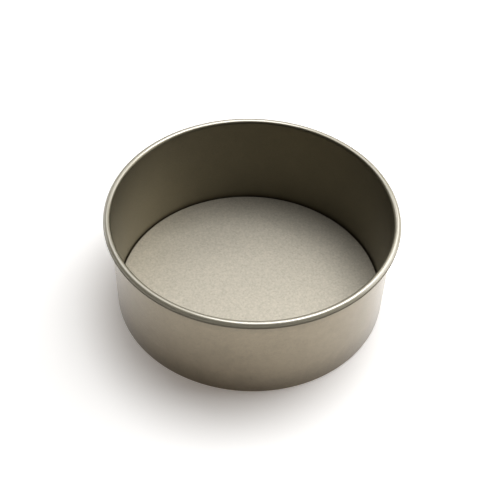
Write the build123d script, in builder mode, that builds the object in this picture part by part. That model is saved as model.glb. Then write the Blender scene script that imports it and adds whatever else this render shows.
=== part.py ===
# Round loose-bottomed cake tin: a tapered wall with a wired, rolled rim,
# and a flat base that lies on a ledge and pushes up through the mouth.
# Millimetres, +Z up. The origin is the centre of the underside.

import os
from math import acos, atan2, cos, degrees, hypot, radians, sin, tan

from build123d import *

# The whole tin
overall_height = 70.0
mouth_inside_diameter = 178.4  # between the innermost points of the rolled rim
floor_inside_diameter = 175.2  # inner face of the wall, carried down to the table

# Wall and ledge, pressed from one sheet
sheet_thickness = 0.7
ledge_width = 7.0  # inward from the inner face of the wall
bend_inside_radius = 0.4  # where the wall turns into the ledge
cut_edge_radius = 0.2  # both corners of each cut edge of the sheet

# Rolled rim
rim_bead_diameter = 4.8
rim_curl_wrap = 305.0  # degrees that the sheet turns, up to its free edge

# Wire inside the rim
wire_clearance = 0.25  # all round, between the wire and the curled sheet
wire_butt_gap = 1.0  # between the two ends of the wire

# Loose base
base_thickness = 1.2
base_clearance = 0.05  # radial, between the base and the start of the bend
base_edge_radius = 0.25  # both corners of the base's edge

# Worked out from the sizes above
floor_inside_radius = floor_inside_diameter / 2
rim_bead_radius = rim_bead_diameter / 2
bead_centre_r = mouth_inside_diameter / 2 + rim_bead_radius
bead_centre_z = overall_height - rim_bead_radius
curl_inside_radius = rim_bead_radius - sheet_thickness

# The inner face is the line from the floor that is tangent to the rim's bead
bead_offset_r = bead_centre_r - floor_inside_radius
wall_lean = acos(rim_bead_radius / hypot(bead_offset_r, bead_centre_z)) - atan2(bead_centre_z, bead_offset_r)
tangent_angle = 180 - degrees(wall_lean)  # from the bead's centre to the wall
curl_end_angle = tangent_angle - rim_curl_wrap


def wall_inside_radius(height):
    # Radius of the wall's inner face at a height above the table
    return floor_inside_radius + height * tan(wall_lean)


def wall_outside_radius(height):
    return wall_inside_radius(height) + sheet_thickness / cos(wall_lean)


def beside_bead(radius, angle):
    # A point of the profile, seen from the bead's centre
    turn = radians(angle)
    return (bead_centre_r + radius * cos(turn), bead_centre_z + radius * sin(turn))


# Wall, ledge and rolled rim
ledge_hole_radius = floor_inside_radius - ledge_width
inside_corner = (wall_inside_radius(sheet_thickness), sheet_thickness)
outside_corner = (wall_outside_radius(0), 0)
ledge_edge_top = (ledge_hole_radius, sheet_thickness)
ledge_edge_bottom = (ledge_hole_radius, 0)
curl_end_outside = beside_bead(rim_bead_radius, curl_end_angle)
curl_end_inside = beside_bead(curl_inside_radius, curl_end_angle)
wall_roundings = (
    (inside_corner, bend_inside_radius),
    (outside_corner, bend_inside_radius + sheet_thickness),
    (ledge_edge_top, cut_edge_radius),
    (ledge_edge_bottom, cut_edge_radius),
    (curl_end_outside, cut_edge_radius),
    (curl_end_inside, cut_edge_radius),
)

with BuildPart() as tin_wall:
    with BuildSketch(Plane.XZ) as wall_section:
        with BuildLine():
            Polyline(ledge_edge_top, inside_corner, beside_bead(rim_bead_radius, tangent_angle))
            CenterArc((bead_centre_r, bead_centre_z), rim_bead_radius, tangent_angle, -rim_curl_wrap)
            Line(curl_end_outside, curl_end_inside)
            CenterArc((bead_centre_r, bead_centre_z), curl_inside_radius, curl_end_angle, rim_curl_wrap)
            Polyline(
                beside_bead(curl_inside_radius, tangent_angle),
                outside_corner,
                ledge_edge_bottom,
                ledge_edge_top,
            )
        make_face()
        for corner, radius in wall_roundings:
            fillet(wall_section.vertices().sort_by_distance(corner)[0], radius)
    revolve(axis=Axis.Z)
tin_wall.part.label = "tin_wall"

# Wire that the rim is rolled over, cut to a ring whose ends nearly meet
wire_radius = curl_inside_radius - wire_clearance
butt_angle = degrees(wire_butt_gap / bead_centre_r)

with BuildPart() as rim_wire:
    with BuildSketch(Plane.XZ):
        with Locations((bead_centre_r, bead_centre_z)):
            Circle(wire_radius)
    revolve(axis=Axis.Z, revolution_arc=360 - butt_angle)
rim_wire.part.label = "rim_wire"

# Flat base, lying on the ledge
base_radius = wall_inside_radius(sheet_thickness) - bend_inside_radius - base_clearance

with BuildPart() as loose_base:
    with BuildSketch(Plane.XY.offset(sheet_thickness)):
        Circle(base_radius)
    extrude(amount=base_thickness)
    fillet(loose_base.edges().filter_by(GeomType.CIRCLE), base_edge_radius)
loose_base.part.label = "loose_base"

os.makedirs("parts", exist_ok=True)
export_step(tin_wall.part, "parts/tin_wall.step")
export_step(rim_wire.part, "parts/rim_wire.step")
export_step(loose_base.part, "parts/loose_base.step")
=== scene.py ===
import math

import bmesh
import bpy
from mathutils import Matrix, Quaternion, Vector

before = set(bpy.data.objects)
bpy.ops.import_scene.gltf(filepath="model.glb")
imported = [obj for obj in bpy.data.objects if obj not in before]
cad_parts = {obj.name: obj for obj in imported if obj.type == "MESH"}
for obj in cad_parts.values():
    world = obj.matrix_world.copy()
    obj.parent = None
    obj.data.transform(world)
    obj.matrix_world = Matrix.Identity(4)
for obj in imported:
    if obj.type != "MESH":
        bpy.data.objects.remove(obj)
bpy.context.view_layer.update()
mm = 0.001
print("frame loaded:", ", ".join(sorted(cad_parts)))


class Value:
    # wraps a number socket, so that shader maths reads as a plain expression
    def __init__(self, graph, socket):
        self.graph = graph
        self.socket = socket

    def maths(self, operation, *others):
        node = self.graph.node("ShaderNodeMath", {"operation": operation}, {})
        for place, item in enumerate((self,) + others):
            self.graph.feed(node.inputs[place], item)
        return Value(self.graph, node.outputs[0])

    def __add__(self, other):
        return self.maths("ADD", other)

    __radd__ = __add__

    def __mul__(self, other):
        return self.maths("MULTIPLY", other)

    __rmul__ = __mul__

    def __sub__(self, other):
        return self.maths("SUBTRACT", other)

    def __rsub__(self, other):
        return self.maths("MULTIPLY", -1.0) + other

    def __truediv__(self, other):
        return self.maths("DIVIDE", other)

    def __rtruediv__(self, other):
        return self.maths("POWER", -1.0) * other

    def limited(self):
        return self.maths("MAXIMUM", 0.0).maths("MINIMUM", 1.0)

    def rise(self, start, width):
        # 0 up to start, and 1 from start + width on
        return ((self - start) / width).limited()

    def fall(self, end, width):
        # 1 up to end - width, and 0 from end on
        return ((end - self) / width).limited()

    def centred(self):
        # noise runs from 0 to 1, and this from -1 to 1
        return self * 2 - 1


class Graph:
    # one material's nodes
    def __init__(self, name):
        self.material = bpy.data.materials.new(name)
        self.material.use_nodes = True
        self.tree = self.material.node_tree
        self.tree.nodes.clear()

    def feed(self, socket, item):
        if isinstance(item, Value):
            item = item.socket
        if isinstance(item, bpy.types.NodeSocket):
            self.tree.links.new(item, socket)
        else:
            socket.default_value = item

    def node(self, kind, settings, inputs):
        # settings come first, then each input gets its value or its link
        node = self.tree.nodes.new(kind)
        for name, setting in settings.items():
            setattr(node, name, setting)
        for name, item in inputs.items():
            self.feed(node.inputs[name], item)
        return node

    def place(self):
        return self.node("ShaderNodeTexCoord", {}, {}).outputs["Object"]

    def noise(self, size, detail, roughness=0.5):
        # smooth random spots about as wide as size, in metres
        inputs = {
            "Vector": self.place(),
            "Scale": 1 / size,
            "Detail": detail,
            "Roughness": roughness,
        }
        return Value(self, self.node("ShaderNodeTexNoise", {}, inputs).outputs[0])

    def relief(self, height, depth):
        inputs = {"Strength": 1.0, "Distance": depth, "Height": height}
        return self.node("ShaderNodeBump", {}, inputs).outputs[0]

    def blend(self, amount, first, second):
        # colours go through Mix, whose colour sockets have these numbers
        inputs = {0: amount, 6: first, 7: second}
        return self.node("ShaderNodeMix", {"data_type": "RGBA"}, inputs).outputs[2]

    def scaled(self, colour, amount):
        inputs = {0: colour, "Scale": amount}
        return self.node("ShaderNodeVectorMath", {"operation": "SCALE"}, inputs).outputs[0]

    def vector(self, operation, *items):
        # vectors go through Vector Math
        settings = {"operation": operation}
        return self.node("ShaderNodeVectorMath", settings, dict(enumerate(items)))

    def product(self, first, second):
        return self.vector("MULTIPLY", first, second).outputs["Vector"]

    def length(self, vector):
        return Value(self, self.vector("LENGTH", vector).outputs["Value"])

    def part(self, vector, axis):
        node = self.node("ShaderNodeSeparateXYZ", {}, {"Vector": vector})
        return Value(self, node.outputs[axis])

    def principled(self, inputs):
        return self.node("ShaderNodeBsdfPrincipled", {}, inputs).outputs[0]

    def finish(self, shader):
        self.node("ShaderNodeOutputMaterial", {}, {"Surface": shader})
        return self.material


def tinted(colour, share=1.0):
    return tuple(channel * share for channel in colour) + (1.0,)


flatwise = (1, 1, 0)  # leaves out Z, so that a length is a distance from the axis

coating = {
    # one coating for both faces: the inside is darker and greener as painted shade inside the
    # tin, the outside warmer as a painted reflection of the floor
    "inside": (0.223, 0.199, 0.138),
    "insideRoughness": 0.40,
    "outside": (0.286, 0.242, 0.171),
    "outsideRoughness": 0.25,
    "metallic": 0.88,
    "coat": 0.4,
    "coatRoughness": 0.2,
    "outerFade": 0.25,  # where the inner face turns into the outer one
    "rim": (0.435, 0.398, 0.305),  # the rim has its own lighter colour and gloss, which brighten and widen its highlight
    "rimMetallic": 0.45,
    "rimRoughness": 0.48,
    "rimCoatRoughness": 0.13,
    "rimCoatIor": 2.3,
    "rimSpecular": 0.1,
    "rimEdge": (0.30, 0.28, 0.25),  # keeps the rim's grazing reflection dull
    "rimHeight": 65.0 * mm,
    "rimFade": 0.3 * mm,
    "beadFade": 0.5,  # leaves out the wall's inner face beside the rim
    "glossStart": 0.35,  # how far up a face of the rim looks before it is glossy
    "glossFade": 0.25,
    "underEnd": 0.65,  # the rim's lower half is duller, and darker as painted shade where it faces down
    "underFade": 0.625,
    "underShare": 0.6,
    "underRoughness": 0.35,
    # painted shade colour, for the inner corner and for the edge of the loose base
    "paintedShadeColour": (0.060, 0.045, 0.022),
    "cornerHeight": 8.5 * mm,  # painted shade in the inner corner, darker just above the base
    "cornerFade": 6.8 * mm,
    "cornerShare": 0.69,
    "footHeight": 20.0 * mm,  # and outside, painted shade darker towards the foot, where the wall mirrors the floor's shadow
    "footFade": 20.0 * mm,
    "footShare": 0.37,
    "neckHeight": 56.5 * mm,  # and painted shade where the outside runs up under the rim
    "neckFade": 6.0 * mm,
    "neckShare": 0.16,
    "cloudSize": 16 * mm,  # slow change from the spraying
    "cloudDetail": 3.0,
    "cloudShare": 0.07,
    "cloudRoughness": 0.03,
    "grainSize": 1.2 * mm,  # fine grain of the coating
    "grainDetail": 2.0,
    "grainSharpness": 0.6,
    "grainHeight": 0.01 * mm,
    "insideGrain": 0.1,
    "outsideGrain": 0.15,
    "spotSize": 4.5 * mm,  # faint blotches of the outside, from handling
    "spotDetail": 2.0,
    "spotShare": 0.12,
}


def sprayed(g, look):
    # the clouds and the grain of a sprayed coating, and the grain's relief
    clouds = g.noise(look["cloudSize"], look["cloudDetail"])
    grain = g.noise(look["grainSize"], look["grainDetail"], look["grainSharpness"])
    return clouds.centred(), grain.centred(), g.relief(grain, look["grainHeight"])


def byFace(look, outer, inside, outside):
    # a number that differs between the wall's two faces
    return outer * (look[outside] - look[inside]) + look[inside]


def wallMaterial(name, look):
    g = Graph(name)
    normal = g.node("ShaderNodeNewGeometry", {}, {}).outputs["Normal"]
    height = g.part(g.place(), "Z")
    up = g.part(normal, "Z")
    spoke = g.vector("NORMALIZE", g.product(g.place(), flatwise)).outputs["Vector"]
    outward = Value(g, g.vector("DOT_PRODUCT", spoke, normal).outputs["Value"])
    outer = (outward - up).rise(0.0, look["outerFade"])
    onBead = (outward + up.maths("ABSOLUTE")).rise(0.0, look["beadFade"])
    rim = height.rise(look["rimHeight"], look["rimFade"]) * onBead

    clouds, grain, relief = sprayed(g, look)
    spots = g.noise(look["spotSize"], look["spotDetail"]).centred() * outer
    speckle = byFace(look, outer, "insideGrain", "outsideGrain")
    # painted shade on the outside, towards the foot
    foot = height.fall(look["footHeight"], look["footFade"]) * outer
    # painted shade on the outside just under the rim
    neck = height.rise(look["neckHeight"], look["neckFade"]) * outer
    mottle = 1 + clouds * look["cloudShare"] + grain * speckle + spots * look["spotShare"]
    # painted shade on the outside, towards the foot and up under the rim
    paintedShading = (1 - foot * look["footShare"]) * (1 - neck * look["neckShare"])
    # painted shade: the inner face darkens towards the base
    low = height.fall(look["cornerHeight"], look["cornerFade"])
    corner = low * low * (1 - outer) * look["cornerShare"]
    inside = g.blend(corner, tinted(look["inside"]), tinted(look["paintedShadeColour"]))
    # lit and shaded copies of one coating colour for the two faces
    sides = g.blend(outer, inside, tinted(look["outside"]))
    roughness = byFace(look, outer, "insideRoughness", "outsideRoughness")
    wall = {
        "Base Color": g.scaled(sides, mottle * paintedShading),
        "Metallic": look["metallic"],
        "Roughness": clouds * look["cloudRoughness"] + roughness,
        "Coat Weight": outer * look["coat"],
        "Coat Roughness": look["coatRoughness"],
        "Normal": relief,
    }

    # painted shade: the rim darkens where it faces down
    under = up.fall(look["underEnd"], look["underFade"])
    bead = {
        "Base Color": g.scaled(look["rim"], 1 - under * look["underShare"]),
        "Metallic": look["rimMetallic"],
        "Roughness": under * look["underRoughness"] + look["rimRoughness"],
        "Coat Weight": up.rise(look["glossStart"], look["glossFade"]),
        "Coat Roughness": look["rimCoatRoughness"],
        "Coat IOR": look["rimCoatIor"],
        "Specular IOR Level": look["rimSpecular"],
        "Specular Tint": tinted(look["rimEdge"]),
        "Normal": relief,
    }
    shaders = {0: rim, 1: g.principled(wall), 2: g.principled(bead)}
    return g.finish(g.node("ShaderNodeMixShader", {}, shaders).outputs[0])


base = {
    "colour": (0.473, 0.437, 0.362),
    "metallic": 0.7,
    "roughness": 0.48,
    "paintedShadeColour": (0.070, 0.053, 0.028),
    "edgeRadius": 86.4 * mm,  # painted shade in the gap at the very edge, by the wall
    "edgeFade": 0.6 * mm,
    "cloudSize": 25 * mm,
    "cloudDetail": 3.0,
    "cloudShare": 0.04,
    "cloudRoughness": 0.03,
    "grainSize": 1.35 * mm,  # coarser and stronger than on the wall
    "grainDetail": 2.0,
    "grainSharpness": 0.6,
    "grainHeight": 0.02 * mm,
    "grainShare": 0.31,
}


def baseMaterial(name, look):
    g = Graph(name)
    clouds, grain, relief = sprayed(g, look)
    mottle = 1 + clouds * look["cloudShare"] + grain * look["grainShare"]
    radius = g.length(g.product(g.place(), flatwise))
    # painted shade: darker at the very edge, where the base meets the wall
    edge = radius.rise(look["edgeRadius"], look["edgeFade"])
    colour = g.scaled(look["colour"], mottle)
    surface = {
        "Base Color": g.blend(edge, colour, tinted(look["paintedShadeColour"])),
        "Metallic": look["metallic"],
        "Roughness": clouds * look["cloudRoughness"] + look["roughness"],
        "Normal": relief,
    }
    return g.finish(g.principled(surface))


wire = {
    "colour": (0.55, 0.55, 0.54),
    "darkest": 0.85,
    "lightest": 1.1,
    "roughness": 0.35,
    "drawnRoughness": 0.06,
    "drawnSize": 0.6 * mm,  # marks from the drawing of the wire
    "drawnDetail": 2.0,
}


def wireMaterial(name, look):
    g = Graph(name)
    drawn = g.noise(look["drawnSize"], look["drawnDetail"])
    dark = tinted(look["colour"], look["darkest"])
    light = tinted(look["colour"], look["lightest"])
    surface = {
        "Base Color": g.blend(drawn, dark, light),
        "Metallic": 1.0,
        "Roughness": drawn.centred() * look["drawnRoughness"] + look["roughness"],
    }
    return g.finish(g.principled(surface))


def giveMaterial(node, material):
    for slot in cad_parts[node].material_slots:
        slot.material = material


giveMaterial("tin_wall", wallMaterial("wallCoating", coating))
giveMaterial("loose_base", baseMaterial("baseCoating", base))
giveMaterial("rim_wire", wireMaterial("wireSteel", wire))
print("materials made")


def addToSet(name, shape, material):
    mesh = bpy.data.meshes.new(name)
    shape.to_mesh(mesh)
    shape.free()
    mesh.materials.append(material)
    piece = bpy.data.objects.new(name, mesh)
    bpy.context.collection.objects.link(piece)
    return piece


floor = {
    "halfWidth": 8.0,
    "segments": 2,
    "colour": (0.9, 0.9, 0.9),
    "roughness": 0.9,
    "glowInPaintedShadow": (0.219, 0.193, 0.171),  # painted light: the floor glows in place of bounced light, with a painted shadow, less glow, close to the tin
    "glowFar": (0.405, 0.390, 0.374),
    "glowShape": (1.2, 0.99, 1.0),  # the painted shadow is narrower to both sides, as if the lamps there reach further in
    "nearRadius": 85 * mm,
    "nearFade": 55 * mm,
    "glowBeyond": (1.0, 1.0, 1.0),  # the white sweep around the set
    "beyondRadius": 0.4,
    "beyondFade": 0.8,
}


def makeFloor(look):
    g = Graph("floorPaper")
    oval = g.length(g.product(g.place(), look["glowShape"]))
    # painted shadow: less glow close to the tin
    away = oval.rise(look["nearRadius"], look["nearFade"])
    beyond = g.length(g.place()).rise(look["beyondRadius"], look["beyondFade"])
    glow = g.blend(away, tinted(look["glowInPaintedShadow"]), tinted(look["glowFar"]))
    surface = {
        "Base Color": tinted(look["colour"]),
        "Roughness": look["roughness"],
        "Specular IOR Level": 0.0,
        "Emission Color": g.blend(beyond, glow, tinted(look["glowBeyond"])),
        "Emission Strength": 1.0,
    }
    shape = bmesh.new()
    segments = look["segments"]
    bmesh.ops.create_grid(
        shape, x_segments=segments, y_segments=segments, size=look["halfWidth"]
    )
    addToSet("floor", shape, g.finish(g.principled(surface)))


backdrop = {
    "colour": (1.0, 1.0, 1.0),
    "strength": 1.0,
    "radius": 9.0,
    "meridians": 48,
    "rings": 24,
}


def makeBackdrop(look):
    # a pale surround for low views, seen by the camera alone, so it lights nothing
    g = Graph("backdropPaper")
    glow = {"Color": tinted(look["colour"]), "Strength": look["strength"]}
    paper = g.finish(g.node("ShaderNodeEmission", {}, glow).outputs[0])
    shape = bmesh.new()
    bmesh.ops.create_uvsphere(
        shape,
        u_segments=look["meridians"],
        v_segments=look["rings"],
        radius=look["radius"],
    )
    piece = addToSet("backdrop", shape, paper)
    piece.visible_diffuse = False
    piece.visible_glossy = False
    piece.visible_transmission = False
    piece.visible_shadow = False


makeFloor(floor)
makeBackdrop(backdrop)
print("floor and backdrop set")


camera = {
    "place": (0.0, -0.5251, 0.5751),
    "aim": (-0.00077, 0.0, 0.03564),
    "roll": 2.11,  # degrees
    "lens": 83.12,
    "sensor": 36,
    "clipStart": 0.01,
}


def makeCamera(look):
    data = bpy.data.cameras.new("camera")
    data.sensor_width = look["sensor"]
    data.lens = look["lens"]
    data.clip_start = look["clipStart"]
    eye = bpy.data.objects.new("camera", data)
    bpy.context.collection.objects.link(eye)
    eye.location = look["place"]
    turn = (Vector(look["aim"]) - eye.location).to_track_quat("-Z", "Y")
    roll = Quaternion((0, 0, 1), math.radians(look["roll"]))
    eye.rotation_mode = "QUATERNION"
    eye.rotation_quaternion = turn @ roll
    bpy.context.scene.camera = eye


# soft round lamps that face the tin: degrees clockwise from behind it and up from
# the floor, metres, and watts
lights = {
    "top": {"azimuth": 45, "elevation": 76, "distance": 1.5, "size": 1.1, "power": 12.9},
    "back": {"azimuth": 335, "elevation": 58, "distance": 1.5, "size": 0.98, "power": 3.4},
    "key": {"azimuth": 40, "elevation": 52, "distance": 1.5, "size": 0.98, "power": 2.1},
    "behind": {"azimuth": 0, "elevation": 38, "distance": 1.5, "size": 0.9, "power": 0.7},
    "low": {"azimuth": 310, "elevation": 12, "distance": 1.5, "size": 0.9, "power": 1.6},
    "nearBack": {"azimuth": 50, "elevation": 45, "distance": 0.6, "size": 0.4, "power": 0.77},
    "nearRight": {"azimuth": 80, "elevation": 40, "distance": 0.6, "size": 0.4, "power": 0.36},
    "nearLow": {"azimuth": 85, "elevation": 20, "distance": 0.5, "size": 0.35, "power": 0.36},
    "nearHigh": {"azimuth": 80, "elevation": 65, "distance": 0.6, "size": 0.4, "power": 0.37},
}

world = {"strength": 0.0}  # the lamps and the floor's glow give all the light


def makeLight(name, look):
    data = bpy.data.lights.new(name, "AREA")
    data.shape = "DISK"
    data.size = look["size"]
    data.energy = look["power"]
    lamp = bpy.data.objects.new(name, data)
    bpy.context.collection.objects.link(lamp)
    turn, rise = math.radians(look["azimuth"]), math.radians(look["elevation"])
    reach = math.cos(rise)
    outward = Vector((math.sin(turn) * reach, math.cos(turn) * reach, math.sin(rise)))
    lamp.location = outward * look["distance"]
    lamp.rotation_euler = outward.to_track_quat("Z", "Y").to_euler()


def makeWorld(look):
    sky = bpy.data.worlds.new("sky")
    sky.use_nodes = True
    background = sky.node_tree.nodes["Background"]
    background.inputs["Strength"].default_value = look["strength"]
    bpy.context.scene.world = sky


makeCamera(camera)
for name, look in lights.items():
    makeLight(name, look)
makeWorld(world)
bpy.context.scene.view_settings.view_transform = "Standard"
print("camera and lights set")
